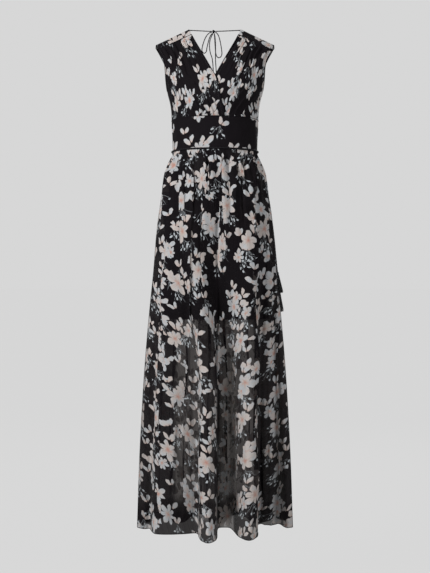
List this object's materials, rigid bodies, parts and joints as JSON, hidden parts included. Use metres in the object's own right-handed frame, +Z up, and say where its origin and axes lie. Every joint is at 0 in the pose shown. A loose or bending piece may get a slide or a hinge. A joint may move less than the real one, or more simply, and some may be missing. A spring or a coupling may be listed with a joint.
{
  "type": "maxi dress",
  "caption": "Long sleeveless dress of sheer dark floral cloth in its worn shape: wrap V front, V back, waistband, gathered skirt over a short slip, tied waist and neck cords with tassels",
  "frame": {"origin": "where the wearer holds the dress up: in the middle between the two shoulder seams, at their mid height", "axes": "+Z up along the body, -Y the front of the dress, +X towards the wearer's left"},
  "size_m": [0.438, 0.3578, 1.4058],
  "materials": {
    "printed_cloth": "sheer crinkled chiffon, near-black with a pale floral print, soft low sheen",
    "slip_lining": "plain black woven lining, opaque, low satin sheen",
    "cord": "thin black cloth cord, matt",
    "tassel": "black twisted threads, soft sheen along the strands"
  },
  "bodies": {
    "root": {"front_bodice_right": "printed_cloth", "front_bodice_left": "printed_cloth", "back_bodice_right": "printed_cloth", "back_bodice_left": "printed_cloth", "yoke_right": "printed_cloth", "yoke_left": "printed_cloth", "waistband_front": "printed_cloth", "waistband_back": "printed_cloth", "skirt_front": "printed_cloth", "skirt_back": "printed_cloth", "lining_front": "slip_lining", "lining_back": "slip_lining", "waist_cord": "cord", "waist_knot": "cord", "waist_end_upper": "cord", "waist_end_lower": "cord", "tassel_upper": "tassel", "tassel_lower": "tassel", "neck_run_right": "cord", "neck_run_left": "cord", "neck_knot": "cord", "neck_loop_right": "cord", "neck_loop_left": "cord", "neck_end_right": "cord", "neck_end_left": "cord"}
  },
  "joints": []
}
